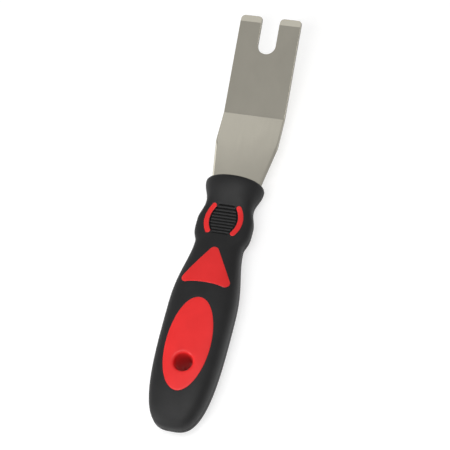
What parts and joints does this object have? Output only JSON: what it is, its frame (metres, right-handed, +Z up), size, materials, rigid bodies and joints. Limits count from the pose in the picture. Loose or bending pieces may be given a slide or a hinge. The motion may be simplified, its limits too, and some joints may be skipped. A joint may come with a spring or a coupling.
{
  "type": "trim removal tool",
  "caption": "Hand tool for prying trim clips: a bent steel blade with a slotted fork in a two-colour moulded handle with a thumb rest and a hanging hole.",
  "frame": {"origin": "middle of the underside of the tool's box, on the surface that it lies on", "axes": "+Y from the butt of the handle to the fork, +Z up from the surface, +X across the blade"},
  "size_m": [0.031, 0.2102, 0.0264],
  "materials": {
    "blade": "satin",
    "handle_core": "satin",
    "grip_sleeve": "matte"
  },
  "bodies": {
    "root": {"blade": "blade", "handle_core": "handle_core", "grip_sleeve": "grip_sleeve"}
  },
  "joints": []
}
